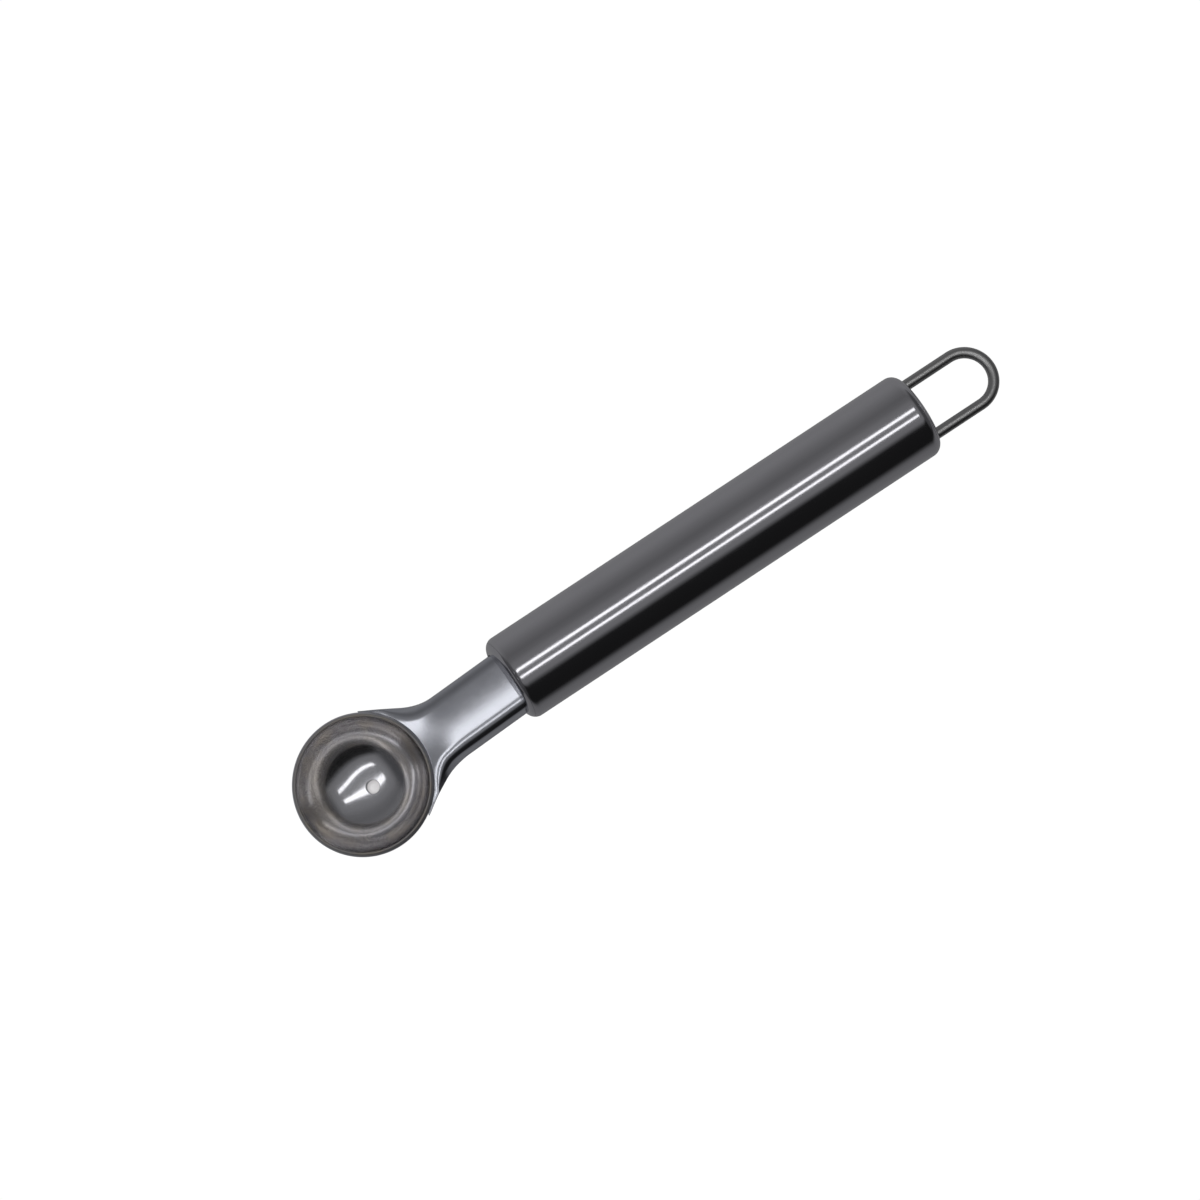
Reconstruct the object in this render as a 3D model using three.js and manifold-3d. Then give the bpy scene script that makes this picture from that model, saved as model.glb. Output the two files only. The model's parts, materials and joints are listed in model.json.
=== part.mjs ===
// Fruit ball scoop: a polished bowl on a pressed channel neck, welded into a capped tube
// handle with a wire hanging loop. Millimetres, +Z up, the bowl's mouth upwards.
//
// The handle lies along X with its front face at x = 0 and the bowl towards -X. The scoop end
// is drawn straight along X too and then pitched down about the front face. At the end the
// whole tool is laid as it lies on a table: on the bowl's bottom and the handle's rear shoulder.

import * as THREE from 'three';
import { mergeVertices } from 'three/addons/utils/BufferGeometryUtils.js';
import Module from 'manifold-3d';

const wasm = await Module();
wasm.setup();

// Handle
const handleLength = 103.5;
const handleDiameter = 19;
const tubeWall = 0.7;
const frontShoulder = 2.2;
const rearShoulder = 2.5;
const shoulderTurn = THREE.MathUtils.degToRad(40);
const capPlate = 1.2;
const skirtLength = 5;
const skirtWall = 0.6;

// Bowl
const bowlDiameter = 30;
const bowlDepth = 12.2;
const bowlWall = 1;
const rimLip = 0.3;
const rimBevel = 0.8;
const ventDiameter = 2.9;

// Neck
const bowlReach = 36.6;
const neckPitch = THREE.MathUtils.degToRad(16);
const neckTop = 1.4;
const neckCrown = 0.3;
const neckTopWidth = 12.8;
const neckWidth = 14.3;
const neckDepth = 4.2;
const sheet = 1;
const foldReach = 2.4;
const foldDrop = 1.6;
const flareAngle = THREE.MathUtils.degToRad(30.5);
const flareFillet = 12.5;
const foldFillet = 6.5;
const foldRun = 3.1;
const cradleLength = 5.4;
const cradleDish = 0.5;
const dishLength = 8;
const foldRise = 0.4;
const sweepAngle = THREE.MathUtils.degToRad(46);
const tipLength = 3.6;
const tipFall = 0.4;
const tipDepth = 0.25;
const tipSlope = 0.15;
const tipThickness = 0.15;
const rimStand = 0.4;
const tangLength = 14;
const tangDrop = 1.6;

// Hanging loop
const wireDiameter = 2.4;
const legSpacing = 12;
const loopReach = 18.9;
const legDepth = 5.5;

// Welds
const bowlBead = 1.1;
const tangBead = 1.4;
const tangBeadLength = 7;
const loopBead = 1.4;
const loopBeadLength = 3;

// Fits
const tubeFit = 0.12;
const seamGap = 0.12;
const slotFit = 0.2;
const holeFit = 0.15;
const weldGap = 0.1;
const bowlGap = 0.2;

// Fineness of the round surfaces
const turnSegments = 64;
const bowlRings = 14;
const shoulderSteps = 5;
const foldSteps = 4;
const crownSteps = 6;
const neckStep = 0.8;
const wireSides = 12;
const wireStep = 0.9;
const bendSteps = 12;
const beadSides = 10;
const beadSteps = 8;
const mergeDistance = 1e-4;

// Derived sizes
const handleRadius = handleDiameter / 2;
const bowlRadius = bowlDiameter / 2;
const bowlSphere = (bowlRadius ** 2 + bowlDepth ** 2) / (2 * bowlDepth);
const bowlSphereRise = bowlSphere - bowlDepth;
const bowlCentreHeight = neckTop + rimStand + bowlSphereRise;
const ventRadius = ventDiameter / 2;
const wireRadius = wireDiameter / 2;
const loopRadius = legSpacing / 2;
const legStraight = loopReach - wireRadius - loopRadius;

// Finishes
const mirrorSteel = { color: 0x8a8a8e, roughness: 0.14, metalness: 1 };
const bowlSteel = { color: 0x8f8b86, roughness: 0.12, metalness: 1 };
const satinSteel = { color: 0xa9adb4, roughness: 0.34, metalness: 1 };
const wireSteel = { color: 0x7c7c7c, roughness: 0.22, metalness: 1 };
const weldSteel = { color: 0x6f6a64, roughness: 0.5, metalness: 1 };

// Solids: closed meshes that can be cut and joined

function solidOf(geometry) {
  const bare = geometry.clone();
  bare.deleteAttribute('normal');
  bare.deleteAttribute('uv');
  const merged = mergeVertices(bare, mergeDistance);
  const vertProperties = new Float32Array(merged.attributes.position.array);
  const triVerts = new Uint32Array(merged.index.array);
  return new wasm.Manifold(new wasm.Mesh({ numProp: 3, vertProperties, triVerts }));
}

function geometryOf(solid) {
  const mesh = solid.getMesh();
  const positions = new Float32Array(mesh.vertProperties);
  const geometry = new THREE.BufferGeometry();
  geometry.setAttribute('position', new THREE.BufferAttribute(positions, 3));
  geometry.setIndex(new THREE.BufferAttribute(new Uint32Array(mesh.triVerts), 1));
  geometry.computeVertexNormals();
  return geometry;
}

function piece(name, geometry, finish) {
  const mesh = new THREE.Mesh(geometry, new THREE.MeshStandardMaterial(finish));
  mesh.name = name;
  return mesh;
}

// Points of an arc about (x, y) from one angle to another, both ends included.
function arc(x, y, radius, from, to, steps) {
  return Array.from({ length: steps + 1 }, (_, i) => {
    const angle = from + ((to - from) * i) / steps;
    return new THREE.Vector2(x + radius * Math.cos(angle), y + radius * Math.sin(angle));
  });
}

// A body turned about the X axis from a counter-clockwise profile of (radius, x) points.
function turnedAlongX(profile) {
  return new THREE.LatheGeometry(profile, turnSegments).rotateZ(-Math.PI / 2);
}

function rod(radius, sides) {
  return new THREE.Shape(arc(0, 0, radius, 0, 2 * Math.PI * (1 - 1 / sides), sides - 1));
}

// Bowl: part of a sphere whose rim is ground to a bevel outside, with a vent hole in the bottom

function bowlGeometry() {
  const inner = bowlSphere - bowlWall;
  const rimDrop = bowlSphereRise - rimBevel;
  const outerVent = -Math.acos(ventRadius / bowlSphere);
  const bevelFoot = -Math.asin(bowlSphereRise / bowlSphere);
  const innerRim = -Math.asin(rimDrop / inner);
  const innerVent = -Math.acos(ventRadius / inner);
  const profile = [
    ...arc(0, 0, bowlSphere, outerVent, bevelFoot, bowlRings),
    new THREE.Vector2(inner * Math.cos(innerRim) + rimLip, -rimDrop),
    ...arc(0, 0, inner, innerRim, innerVent, bowlRings),
  ];
  profile.push(profile[0].clone());
  return new THREE.LatheGeometry(profile, turnSegments)
    .rotateX(Math.PI / 2)
    .translate(-bowlReach, 0, bowlCentreHeight);
}

// Neck: an inverted channel that flares until its edges run tangent to the bowl

const bowlRoomAtTop = Math.sqrt((bowlSphere + bowlGap) ** 2 - (bowlCentreHeight - neckTop) ** 2);
const flareTangent = bowlRoomAtTop + tipThickness;
const flareTip = bowlRadius * Math.sin(flareAngle);
const sweepEnd = bowlRadius * Math.cos(sweepAngle);
const cradleStart = bowlRadius + cradleLength;

// Half width of the channel's lower edges, a distance behind the bowl's centre.
function edgeHalfWidth(distance) {
  const half = neckWidth / 2;
  const corner = (flareTangent - half * Math.cos(flareAngle)) / Math.sin(flareAngle);
  const reach = flareFillet * Math.tan(flareAngle / 2);
  if (distance >= corner + reach) return half;
  if (distance <= corner - reach * Math.cos(flareAngle)) {
    return (flareTangent - distance * Math.sin(flareAngle)) / Math.cos(flareAngle);
  }
  const along = corner + reach - distance;
  return half + flareFillet - Math.sqrt(flareFillet ** 2 - along ** 2);
}

// Half width of the folds between the top and the sides.
function foldHalfWidth(distance) {
  const half = neckTopWidth / 2;
  const edge = edgeHalfWidth(distance) - tipSlope;
  const along = Math.max(0, bowlRadius + foldRun - distance);
  if (along >= foldFillet) return edge;
  return Math.min(edge, half + foldFillet - Math.sqrt(foldFillet ** 2 - along ** 2));
}

// Share of the dish at the bowl: none along the straight neck, all of it at the rim.
function dishShare(distance) {
  return 1 - THREE.MathUtils.smoothstep(distance, bowlRadius, bowlRadius + dishLength);
}

// Height of the folds, which rise round the dish and fall away along the tips.
function foldHeight(distance) {
  const tip = 1 - THREE.MathUtils.smoothstep(distance, flareTip, flareTip + tipLength);
  return neckTop + foldRise * dishShare(distance) - tipFall * tip;
}

// Depth of the sides, which sweep up and run out beside the bowl.
function sideDepth(distance) {
  const share = THREE.MathUtils.smoothstep(distance, sweepEnd, cradleStart);
  return THREE.MathUtils.lerp(tipDepth, neckDepth, share);
}

// Height of the top's middle over the folds: a low crown that turns into a dish at the bowl.
function crownHeight(distance) {
  return THREE.MathUtils.lerp(neckCrown, -cradleDish, dishShare(distance));
}

// One side of the channel's outer line, from the lower edge up over the fold to the middle.
function channelHalf(distance) {
  const fold = new THREE.Vector2(foldHalfWidth(distance), foldHeight(distance));
  const foot = new THREE.Vector2(edgeHalfWidth(distance), fold.y - sideDepth(distance));
  const below = fold.clone().lerp(foot, Math.min(foldDrop / foot.distanceTo(fold), 1 / 2));
  const crown = (y) => fold.y + crownHeight(distance) * (1 - (y / fold.x) ** 2);
  const inside = new THREE.Vector2(fold.x - foldReach, crown(fold.x - foldReach));
  const bend = new THREE.QuadraticBezierCurve(below, fold, inside).getPoints(foldSteps);
  const top = Array.from({ length: crownSteps }, (_, i) => {
    const y = inside.x * (1 - (i + 1) / crownSteps);
    return new THREE.Vector2(y, crown(y));
  });
  return [foot, ...bend, ...top];
}

// The line moved sideways along its normals, outwards for a positive distance.
function offsetLine(line, distance) {
  return line.map((point, i) => {
    const before = line[Math.max(i - 1, 0)];
    const after = line[Math.min(i + 1, line.length - 1)];
    const along = after.clone().sub(before).normalize();
    return new THREE.Vector2(point.x + along.y * distance, point.y - along.x * distance);
  });
}

// Closed channel section, grown on every face.
function channelSection(distance, grown) {
  const half = channelHalf(distance);
  const left = half.slice(0, -1).reverse().map((point) => new THREE.Vector2(-point.x, point.y));
  const line = [...half, ...left];
  return [...offsetLine(line, grown), ...offsetLine(line, -sheet - grown).reverse()];
}

// A closed skin over matching sections, each at its own distance behind the bowl's centre.
function loftedChannel(distances, grown) {
  const sections = distances.map((distance) => channelSection(distance, grown));
  const count = sections[0].length;
  const positions = sections.flatMap((section, k) => section.flatMap(
    (point) => [distances[k] - bowlReach, point.x, point.y],
  ));
  const index = [];
  for (let k = 0; k + 1 < sections.length; k += 1) {
    for (let i = 0; i < count; i += 1) {
      const a = k * count + i;
      const b = k * count + ((i + 1) % count);
      index.push(a, b, b + count, a, b + count, a + count);
    }
  }
  const last = (sections.length - 1) * count;
  for (const [a, b, c] of THREE.ShapeUtils.triangulateShape(sections[0], [])) {
    index.push(a, c, b);
  }
  for (const [a, b, c] of THREE.ShapeUtils.triangulateShape(sections.at(-1), [])) {
    index.push(last + a, last + b, last + c);
  }
  const geometry = new THREE.BufferGeometry();
  geometry.setAttribute('position', new THREE.Float32BufferAttribute(positions, 3));
  geometry.setIndex(index);
  return geometry;
}

function evenSteps(from, to, step) {
  const count = Math.max(1, Math.round((to - from) / step));
  return Array.from({ length: count + 1 }, (_, i) => from + ((to - from) * i) / count);
}

// Room below the tang, in front of which the channel's sides stop at the cap's face.
function belowTang(front, lift) {
  const size = handleDiameter + tangLength;
  return new THREE.BoxGeometry(size, size, size)
    .translate(front + size / 2, 0, -tangDrop - lift - size / 2);
}

const pitched = new THREE.Matrix4().makeRotationY(-neckPitch);
const unpitched = pitched.clone().invert();

function neckGeometry() {
  const flareEnd = cradleStart + flareFillet / 2;
  const distances = [
    ...evenSteps(flareTip, flareEnd, neckStep),
    bowlReach,
    bowlReach + tangLength,
  ];
  const bowlRoom = new THREE.SphereGeometry(bowlSphere + bowlGap, turnSegments, turnSegments / 2)
    .rotateX(Math.PI / 2)
    .translate(-bowlReach, 0, bowlCentreHeight);
  const notch = belowTang(-slotFit, 0).applyMatrix4(unpitched);
  return geometryOf(
    solidOf(loftedChannel(distances, 0)).subtract(solidOf(bowlRoom)).subtract(solidOf(notch)),
  );
}

// Weld beads under the neck's top, along the bowl on either side of the middle
function bowlWeldGeometry(side) {
  const radius = bowlBead / 2;
  const height = neckTop + foldRise - cradleDish - sheet - weldGap - radius;
  const reach = Math.sqrt((bowlSphere + weldGap + radius) ** 2 - (height - bowlCentreHeight) ** 2);
  const room = foldHalfWidth(reach) - sheet - foldReach - radius;
  const from = (side * bowlBead) / reach;
  const to = side * Math.asin(room / reach);
  const line = arc(-bowlReach, 0, reach, from, to, beadSteps);
  const points = line.map((point) => new THREE.Vector3(point.x, point.y, height));
  return new THREE.ExtrudeGeometry(rod(radius, beadSides), {
    steps: beadSteps,
    bevelEnabled: false,
    extrudePath: new THREE.CatmullRomCurve3(points),
  });
}

// Handle: a tube whose ends are drawn in round the shoulders, closed by inset caps

function tubeGeometry() {
  const front = [handleRadius - frontShoulder, frontShoulder];
  const rear = [handleRadius - rearShoulder, handleLength - rearShoulder];
  const profile = [
    ...arc(...front, frontShoulder, -shoulderTurn, 0, shoulderSteps),
    ...arc(...rear, rearShoulder, 0, shoulderTurn, shoulderSteps),
    ...arc(...rear, rearShoulder - tubeWall, shoulderTurn, 0, shoulderSteps),
    ...arc(...front, frontShoulder - tubeWall, 0, -shoulderTurn, shoulderSteps),
  ];
  profile.push(profile[0].clone());
  return turnedAlongX(profile);
}

// Cap with its flat face at x = 0, its round edge meeting the tube's and its skirt towards +X.
function capGeometry(shoulder) {
  const flat = handleRadius - shoulder;
  const mouth = (shoulder - tubeWall) * Math.cos(shoulderTurn) - tubeFit;
  const seam = shoulderTurn + seamGap / shoulder;
  const step = shoulder - mouth * Math.tan(seam);
  const skirt = flat + mouth;
  return turnedAlongX([
    new THREE.Vector2(0, 0),
    ...arc(flat, shoulder, shoulder, -Math.PI / 2, -seam, shoulderSteps),
    new THREE.Vector2(skirt, step),
    new THREE.Vector2(skirt, step + skirtLength),
    new THREE.Vector2(skirt - skirtWall, step + skirtLength),
    new THREE.Vector2(skirt - skirtWall, capPlate),
    new THREE.Vector2(0, capPlate),
  ]);
}

function frontCapGeometry() {
  const ends = [bowlReach - handleRadius, bowlReach + tangLength];
  const grownNeck = solidOf(loftedChannel(ends, slotFit).applyMatrix4(pitched));
  const slot = grownNeck.subtract(solidOf(belowTang(-handleDiameter, slotFit)));
  return geometryOf(solidOf(capGeometry(frontShoulder)).subtract(slot));
}

function rearCapGeometry() {
  const holeRadius = wireRadius + holeFit;
  let cap = solidOf(capGeometry(rearShoulder));
  for (const side of [-1, 1]) {
    const hole = new THREE.CylinderGeometry(holeRadius, holeRadius, 2 * skirtLength, turnSegments / 2)
      .rotateZ(Math.PI / 2)
      .translate(0, side * loopRadius, 0);
    cap = cap.subtract(solidOf(hole));
  }
  return geometryOf(cap).rotateZ(Math.PI).translate(handleLength, 0, 0);
}

// Straight bead of weld along Z, centred.
function weldBar(thickness, length) {
  const bead = rod(thickness / 2, beadSides);
  return new THREE.ExtrudeGeometry(bead, { depth: length, bevelEnabled: false })
    .translate(0, 0, -length / 2);
}

// Weld beads behind the front cap, above and below the tang's top sheet
function tangWeldGeometry(side) {
  const radius = tangBead / 2;
  const face = side > 0 ? neckTop + neckCrown : sheet - neckTop;
  const x = capPlate + weldGap + radius;
  const height = side * (face + weldGap + radius);
  const z = (height + x * Math.sin(neckPitch)) / Math.cos(neckPitch);
  return weldBar(tangBead, tangBeadLength).rotateX(Math.PI / 2).translate(x, 0, z);
}

// Hanging loop: one bent wire with both legs through the rear cap

function loopGeometry() {
  const start = handleLength - legDepth;
  const bend = handleLength + legStraight;
  const path = new THREE.CurvePath();
  path.add(new THREE.LineCurve3(
    new THREE.Vector3(start, -loopRadius, 0),
    new THREE.Vector3(bend, -loopRadius, 0),
  ));
  const turn = arc(bend, 0, loopRadius, -Math.PI / 2, Math.PI / 2, bendSteps);
  path.add(new THREE.CatmullRomCurve3(turn.map((point) => new THREE.Vector3(point.x, point.y, 0))));
  path.add(new THREE.LineCurve3(
    new THREE.Vector3(bend, loopRadius, 0),
    new THREE.Vector3(start, loopRadius, 0),
  ));
  return new THREE.ExtrudeGeometry(rod(wireRadius, wireSides), {
    steps: Math.round(path.getLength() / wireStep),
    bevelEnabled: false,
    extrudePath: path,
  });
}

// Weld beads behind the rear cap, on the inner side of each leg
function loopWeldGeometry(side) {
  const radius = loopBead / 2;
  return weldBar(loopBead, loopBeadLength).translate(
    handleLength - capPlate - weldGap - radius,
    side * (loopRadius - wireRadius - weldGap - radius),
    0,
  );
}

// Assembly

const scoop = new THREE.Group();
scoop.rotation.y = -neckPitch;
scoop.add(
  piece('bowl', bowlGeometry(), bowlSteel),
  piece('neck', neckGeometry(), satinSteel),
  piece('bowl_weld_left', bowlWeldGeometry(1), weldSteel),
  piece('bowl_weld_right', bowlWeldGeometry(-1), weldSteel),
);

const handle = new THREE.Group();
handle.add(
  piece('front_cap', frontCapGeometry(), mirrorSteel),
  piece('tang_weld_upper', tangWeldGeometry(1), weldSteel),
  piece('tang_weld_lower', tangWeldGeometry(-1), weldSteel),
  piece('handle_tube', tubeGeometry(), mirrorSteel),
  piece('rear_cap', rearCapGeometry(), mirrorSteel),
  piece('hanging_loop', loopGeometry(), wireSteel),
  piece('loop_weld_left', loopWeldGeometry(1), weldSteel),
  piece('loop_weld_right', loopWeldGeometry(-1), weldSteel),
);

const tool = new THREE.Group();
tool.add(scoop, handle);

// Laid down: the table touches the bowl's sphere and the round of the handle's rear shoulder.
const bowlCentre = new THREE.Vector3(-bowlReach, 0, bowlCentreHeight).applyMatrix4(pitched);
const along = handleLength - rearShoulder - bowlCentre.x;
const above = bowlCentre.z + handleRadius - rearShoulder;
const span = Math.hypot(along, above);
tool.rotation.y = Math.asin((bowlSphere - rearShoulder) / span) - Math.atan2(above, along);

const model = new THREE.Group();
model.add(tool);
model.updateMatrixWorld(true);
const box = new THREE.Box3().setFromObject(model, true);
model.position.set(-(box.min.x + box.max.x) / 2, 0, -box.min.z);

export default model;
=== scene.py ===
"""Fruit ball scoop: a polished bowl on a pressed channel neck, welded into a capped tube
handle with a wire hanging loop. Sizes are millimetres in the maker's own drawing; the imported
frame says where the drawing lies on the table, in metres.

The handle's drawing runs along +X from the middle of its front face. The scoop's drawing
starts at the same point, pitched down, with the bowl towards -X.
"""

import json
import math

import bmesh
import bpy
from mathutils import Matrix, Vector


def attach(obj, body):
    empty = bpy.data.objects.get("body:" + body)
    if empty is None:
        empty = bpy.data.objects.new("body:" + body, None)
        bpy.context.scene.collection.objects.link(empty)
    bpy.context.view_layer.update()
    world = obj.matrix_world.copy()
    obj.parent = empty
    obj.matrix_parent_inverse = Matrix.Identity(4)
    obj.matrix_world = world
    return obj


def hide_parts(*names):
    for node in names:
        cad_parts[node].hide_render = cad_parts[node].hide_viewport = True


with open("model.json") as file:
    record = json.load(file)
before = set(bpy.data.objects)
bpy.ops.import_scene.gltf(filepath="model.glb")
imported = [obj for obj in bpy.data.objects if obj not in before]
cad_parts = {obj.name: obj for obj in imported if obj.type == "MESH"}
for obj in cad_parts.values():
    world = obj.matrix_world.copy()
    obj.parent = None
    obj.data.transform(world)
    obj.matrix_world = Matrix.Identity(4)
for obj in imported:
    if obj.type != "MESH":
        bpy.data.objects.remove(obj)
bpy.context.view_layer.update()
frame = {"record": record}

MM = 0.001

# Handle
HANDLE_LENGTH = 103.5
HANDLE_RADIUS = 9.5
TUBE_WALL = 0.7
FRONT_SHOULDER = 2.2
REAR_SHOULDER = 2.5
SHOULDER_TURN = math.radians(40)
CAP_PLATE = 1.2
SKIRT_LENGTH = 5.0
SKIRT_WALL = 0.6

# Bowl
BOWL_RADIUS = 15.0
BOWL_DEPTH = 12.2
BOWL_WALL = 1.0
RIM_LIP = 0.3
RIM_BEVEL = 0.8
VENT_RADIUS = 1.45
PATCH_RISE = 0.66
PATCH_WIDTH = 5.2
PATCH_PLACE = Vector((0.3, 1.2))

# Neck
BOWL_REACH = 36.6
NECK_TOP = 1.4
NECK_CROWN = 0.3
NECK_TOP_HALF = 6.4
NECK_HALF = 7.15
NECK_DEPTH = 4.2
SHEET = 1.0
FOLD_REACH = 2.4
FOLD_DROP = 1.6
FLARE_ANGLE = math.radians(30.5)
FLARE_FILLET = 12.5
FOLD_FILLET = 6.5
FOLD_RUN = 3.1
CRADLE_LENGTH = 5.4
CRADLE_DISH = 0.32
DISH_LENGTH = 8.0
FOLD_RISE = 0.4
SWEEP_ANGLE = math.radians(46)
TIP_LENGTH = 3.6
TIP_FALL = 0.4
TIP_DEPTH = 0.25
TIP_SLOPE = 0.15
TIP_THICKNESS = 0.15
RIM_STAND = 0.4
TANG_LENGTH = 14.0
TANG_DROP = 1.6

# Hanging loop and welds
WIRE_RADIUS = 1.2
LOOP_RADIUS = 6.0
LOOP_REACH = 18.9
LEG_DEPTH = 5.5
BEND_EASE = 0.01
BOWL_BEAD = 1.1
TANG_BEAD = 1.4
TANG_BEAD_LENGTH = 7.0
LOOP_BEAD = 1.4
LOOP_BEAD_LENGTH = 3.0

# Fits, and the broken edges of the finished pieces
TUBE_FIT = 0.12
SEAM_GAP = 0.03
SLOT_FIT = 0.2
HOLE_FIT = 0.15
WELD_GAP = 0.1
BOWL_GAP = 0.2
BOWL_SEAM = 0.05
FACE_GAP = 0.05
SEAM_EDGE = 0.05
RIM_EDGE = 0.14
VENT_EDGE = 0.1

# Sizes that follow from those above
BOWL_SPHERE = (BOWL_RADIUS ** 2 + BOWL_DEPTH ** 2) / (2 * BOWL_DEPTH)
BOWL_RISE = BOWL_SPHERE - BOWL_DEPTH
BOWL_INSIDE = BOWL_SPHERE - BOWL_WALL
BOWL_CENTRE = Vector((-BOWL_REACH, 0, NECK_TOP + RIM_STAND + BOWL_RISE))
BOWL_ROOM = BOWL_SPHERE + BOWL_SEAM
CRADLE_START = BOWL_RADIUS + CRADLE_LENGTH
SWEEP_END = BOWL_RADIUS * math.cos(SWEEP_ANGLE)
FLARE_TIP = BOWL_RADIUS * math.sin(FLARE_ANGLE)
BOWL_GIRTH = math.sqrt((BOWL_SPHERE + BOWL_GAP) ** 2 - (BOWL_CENTRE.z - NECK_TOP) ** 2)
FLARE_TANGENT = BOWL_GIRTH + TIP_THICKNESS
FLARE_END = CRADLE_START + FLARE_FILLET / 2

# Where the drawings lie: the mounts give the handle's axis and the bowl's axis
MOUNTS = {mount["name"]: mount for mount in frame["record"]["mounts"]}


def lying(front, along):
    """Matrix from a drawing in millimetres to the frame, for an X axis in the upright plane."""
    up = Vector((-along.z, 0, along.x))
    turn = Matrix((along, Vector((0, 1, 0)), up)).transposed()
    return Matrix.Translation(front) @ turn.to_4x4() @ Matrix.Scale(MM, 4)


HANDLE_AXIS = Vector(MOUNTS["rear_face"]["axis"]).normalized()
BOWL_AXIS = Vector(MOUNTS["bowl_rim"]["axis"]).normalized()
NECK_AXIS = Vector((BOWL_AXIS.z, 0, -BOWL_AXIS.x))
NECK_PITCH = HANDLE_AXIS.angle(NECK_AXIS)
FRONT_FACE = Vector(MOUNTS["rear_face"]["pos_m"]) - HANDLE_AXIS * HANDLE_LENGTH * MM
HANDLE = lying(FRONT_FACE, HANDLE_AXIS)
SCOOP = lying(FRONT_FACE, NECK_AXIS)
BOWL = SCOOP @ Matrix.Translation(BOWL_CENTRE)


# Camera, at the photograph's viewing angle

IMAGE_SIDE = 1200
SENSOR = 36
CAMERA_DISTANCE = 2500
CAMERA_FAR = 10000
CAMERA_LEAN = (-0.0878, -0.145)
CAMERA_ROLL = math.radians(34.0711)
PIXELS_PER_MM = 4.8311
CAMERA_TARGET = Vector((-9.4233, 4.5536, 10))


def add_camera():
    """Long lens over the table, leaning and rolled as in the photograph."""
    x, y = CAMERA_LEAN
    toward = Vector((x, y, math.sqrt(1 - x * x - y * y)))
    along = (Vector((1, 0, 0)) - toward * x).normalized()
    across = toward.cross(along)
    right = along * math.cos(CAMERA_ROLL) - across * math.sin(CAMERA_ROLL)
    up = along * math.sin(CAMERA_ROLL) + across * math.cos(CAMERA_ROLL)
    data = bpy.data.cameras.new("camera")
    data.sensor_width = SENSOR
    data.lens = PIXELS_PER_MM * CAMERA_DISTANCE * SENSOR / IMAGE_SIDE
    data.clip_end = CAMERA_FAR * MM
    camera = bpy.data.objects.new("camera", data)
    place = Matrix.Translation((CAMERA_TARGET + toward * CAMERA_DISTANCE) * MM)
    camera.matrix_world = place @ Matrix((right, up, toward)).transposed().to_4x4()
    bpy.context.collection.objects.link(camera)
    bpy.context.scene.camera = camera


add_camera()


# Shader maths

class Socket:
    """A shader socket that joins in sums: each operator adds its Math node."""

    def __init__(self, nodes, socket):
        self.nodes = nodes
        self.socket = socket

    def maths(self, operation, *values):
        return self.nodes.add("ShaderNodeMath", {"operation": operation}, dict(enumerate(values)))

    def __add__(self, other):
        return self.maths("ADD", self, other)

    def __sub__(self, other):
        return self.maths("SUBTRACT", self, other)

    def __rsub__(self, other):
        return self.maths("SUBTRACT", other, self)

    def __mul__(self, other):
        return self.maths("MULTIPLY", self, other)

    def __truediv__(self, other):
        return self.maths("DIVIDE", self, other)

    def __rtruediv__(self, other):
        return self.maths("DIVIDE", other, self)

    __radd__ = __add__
    __rmul__ = __mul__

    def step(self, low, high):
        """0 at low, 1 at high, smooth between."""
        inputs = {"Value": self, "From Min": low, "From Max": high}
        return self.nodes.add("ShaderNodeMapRange", {"interpolation_type": "SMOOTHSTEP"}, inputs)

    def axis(self, name):
        """One coordinate of a vector."""
        return self.nodes.add("ShaderNodeSeparateXYZ", {}, {0: self}, name)


class Nodes:
    """The shader tree of a material or world, emptied, to which nodes are added."""

    def __init__(self, owner):
        owner.use_nodes = True
        self.tree = owner.node_tree
        self.tree.nodes.clear()

    def add(self, kind, settings, inputs, out=0):
        node = self.tree.nodes.new(kind)
        for key, value in settings.items():
            setattr(node, key, value)
        for key, value in inputs.items():
            if isinstance(value, Socket):
                self.tree.links.new(value.socket, node.inputs[key])
            else:
                node.inputs[key].default_value = value
        return Socket(self, node.outputs[out]) if node.outputs else None

    def mix(self, factor, low, high):
        """Colour between two colours."""
        return self.add("ShaderNodeMix", {"data_type": "RGBA"}, {0: factor, 6: low, 7: high}, 2)

    def ramp(self, factor, stops):
        """Colour read from a row of stops, each a place from 0 to 1 and a colour."""
        colour = self.add("ShaderNodeValToRGB", {}, {0: factor})
        elements = colour.socket.node.color_ramp.elements
        while len(elements) < len(stops):
            elements.new(1)
        for element, (place, tint) in zip(elements, stops):
            element.position = place
            element.color = tint
        return colour

    def place(self, drawing, stretch=(1, 1, 1)):
        """The drawing's own coordinates in millimetres, stretched, read from the piece's place."""
        location, rotation, scale = drawing.inverted().decompose()
        drawn = self.add("ShaderNodeMapping", {"vector_type": "POINT"}, {
            "Vector": self.add("ShaderNodeTexCoord", {}, {}, "Object"),
            "Location": location, "Rotation": rotation.to_euler(), "Scale": scale,
        })
        return self.add("ShaderNodeVectorMath", {"operation": "MULTIPLY"}, {0: drawn, 1: stretch})

    def grain(self, place, scale, detail, roughness):
        """Smooth noise from 0 to 1 at a place."""
        inputs = {"Vector": place, "Scale": scale, "Detail": detail, "Roughness": roughness}
        return self.add("ShaderNodeTexNoise", {}, inputs)

    def bump(self, height, depth):
        """Surface normal disturbed by a height, its full depth in millimetres."""
        inputs = {"Strength": 1, "Distance": depth * MM, "Height": height}
        return self.add("ShaderNodeBump", {}, inputs)

    def metal(self, base, roughness, normal):
        """Closes the material: one metal shader with varying colour, roughness and bump."""
        shader = self.add("ShaderNodeBsdfPrincipled", {}, {
            "Base Color": base, "Roughness": roughness, "Normal": normal, "Metallic": 1,
        })
        self.add("ShaderNodeOutputMaterial", {}, {"Surface": shader})


# Steel: the tints that each finish runs between, and the heat colours of the welds

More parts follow.
